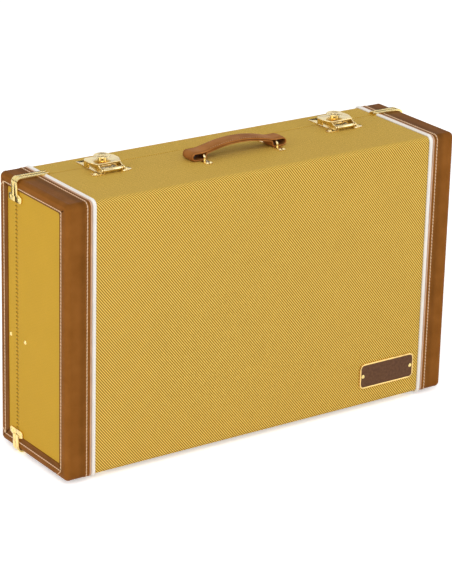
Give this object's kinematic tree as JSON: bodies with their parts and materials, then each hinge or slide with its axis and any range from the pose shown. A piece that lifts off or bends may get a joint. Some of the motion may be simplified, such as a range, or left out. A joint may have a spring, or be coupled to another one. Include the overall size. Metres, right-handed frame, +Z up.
{
  "type": "pedal case",
  "caption": "Hard travel case for guitar pedals, tweed covered with brown end bands and white piping, gold draw latches, flat leather handle and a lid hinged along the bottom.",
  "frame": {"origin": "on the ground under the middle of the case, which stands on its hinge side", "axes": "+X along the case's length, -Y out of the deep shell's face, +Z up through the handle"},
  "size_m": [0.6456, 0.1786, 0.4165],
  "materials": {
    "tweed_cloth": "lacquered twill weave",
    "brown_leathercloth": "fine grain, satin",
    "white_piping": "satin vinyl",
    "plywood": "raw plywood",
    "valance_wood": "stained",
    "plush": "short pile plush",
    "loop_carpet": "loop pile",
    "foam": "convoluted foam",
    "stay_tape": "woven tape",
    "handle_leather": "oiled leather with stitched edges",
    "badge_plate": "dark brown enamel with a gold rim",
    "pin_steel": "plain steel",
    "gold_plate": "polished gold plate"
  },
  "bodies": {
    "body": {"badge_pins": "gold_plate", "badge_plate": "badge_plate", "body_bottom_wall": "plywood", "body_edge_straps": "gold_plate", "body_end_panels": "tweed_cloth", "body_end_rivets": "gold_plate", "body_feet": "gold_plate", "body_floor_carpet": "loop_carpet", "body_front_board": "plywood", "body_hinge_leaves": "gold_plate", "body_hinge_screws": "gold_plate", "body_left_end_band": "brown_leathercloth", "body_left_piping": "white_piping", "body_left_wall": "plywood", "body_right_end_band": "brown_leathercloth", "body_right_piping": "white_piping", "body_right_wall": "plywood", "body_top_wall": "plywood", "body_tweed_cover": "tweed_cloth", "body_valance": "valance_wood", "body_wall_lining": "plush", "handle_foot_plates": "gold_plate", "handle_rivets": "gold_plate", "handle_staple_left": "gold_plate", "handle_staple_right": "gold_plate", "hinge_pins": "pin_steel", "latch_left_base": "gold_plate", "latch_right_base": "gold_plate", "latch_rivets": "gold_plate", "latch_rollers": "gold_plate", "stay_tape_left": "stay_tape", "stay_tape_right": "stay_tape"},
    "lid": {"catch_screws": "gold_plate", "latch_left_catch": "gold_plate", "latch_right_catch": "gold_plate", "lid_back_board": "plywood", "lid_bottom_wall": "plywood", "lid_edge_straps": "gold_plate", "lid_end_panels": "tweed_cloth", "lid_end_rivets": "gold_plate", "lid_feet": "gold_plate", "lid_foam_pad": "foam", "lid_hinge_leaves": "gold_plate", "lid_hinge_screws": "gold_plate", "lid_left_end_band": "brown_leathercloth", "lid_left_piping": "white_piping", "lid_left_wall": "plywood", "lid_right_end_band": "brown_leathercloth", "lid_right_piping": "white_piping", "lid_right_wall": "plywood", "lid_top_wall": "plywood", "lid_tweed_cover": "tweed_cloth", "lid_wall_lining": "plush"},
    "latch_left_lever": {"latch_left_lever": "gold_plate"},
    "latch_left_hook": {"latch_left_hook": "gold_plate"},
    "latch_left_lock": {"latch_left_lock_cylinder": "gold_plate"},
    "latch_right_lever": {"latch_right_lever": "gold_plate"},
    "latch_right_hook": {"latch_right_hook": "gold_plate"},
    "latch_right_lock": {"latch_right_lock_cylinder": "gold_plate"},
    "handle": {"handle_strap": "handle_leather"}
  },
  "joints": [
    {"name": "lid_hinge", "type": "hinge", "parent": "body", "child": "lid", "pos_m": [0, 0.0425, 0.0032], "axis": [-1, 0, 0], "range_deg": [0, 100], "deforming": ["stay_tape_left", "stay_tape_right"]},
    {"name": "latch_left_lever", "type": "hinge", "parent": "body", "child": "latch_left_lever", "pos_m": [-0.194, 0.004, 0.3997], "axis": [1, 0, 0], "range_deg": [0, 120]},
    {"name": "latch_left_hook", "type": "hinge", "parent": "latch_left_lever", "child": "latch_left_hook", "pos_m": [-0.194, 0.0205, 0.401], "axis": [1, 0, 0], "range_deg": [-120, 0]},
    {"name": "latch_left_key", "type": "hinge", "parent": "latch_left_lever", "child": "latch_left_lock", "pos_m": [-0.194, 0.0295, 0.4103], "axis": [0, 0, 1], "range_deg": [0, 90]},
    {"name": "latch_right_lever", "type": "hinge", "parent": "body", "child": "latch_right_lever", "pos_m": [0.194, 0.004, 0.3997], "axis": [1, 0, 0], "range_deg": [0, 120]},
    {"name": "latch_right_hook", "type": "hinge", "parent": "latch_right_lever", "child": "latch_right_hook", "pos_m": [0.194, 0.0205, 0.401], "axis": [1, 0, 0], "range_deg": [-120, 0]},
    {"name": "latch_right_key", "type": "hinge", "parent": "latch_right_lever", "child": "latch_right_lock", "pos_m": [0.194, 0.0295, 0.4103], "axis": [0, 0, 1], "range_deg": [0, 90]},
    {"name": "handle_lift", "type": "slide", "parent": "body", "child": "handle", "axis": [0, 0, 1], "range_m": [0, 0.003]}
  ],
  "couplings": [
    {"joint": "latch_left_hook", "follows": "latch_left_lever", "ratio": -1},
    {"joint": "latch_right_hook", "follows": "latch_right_lever", "ratio": -1}
  ]
}
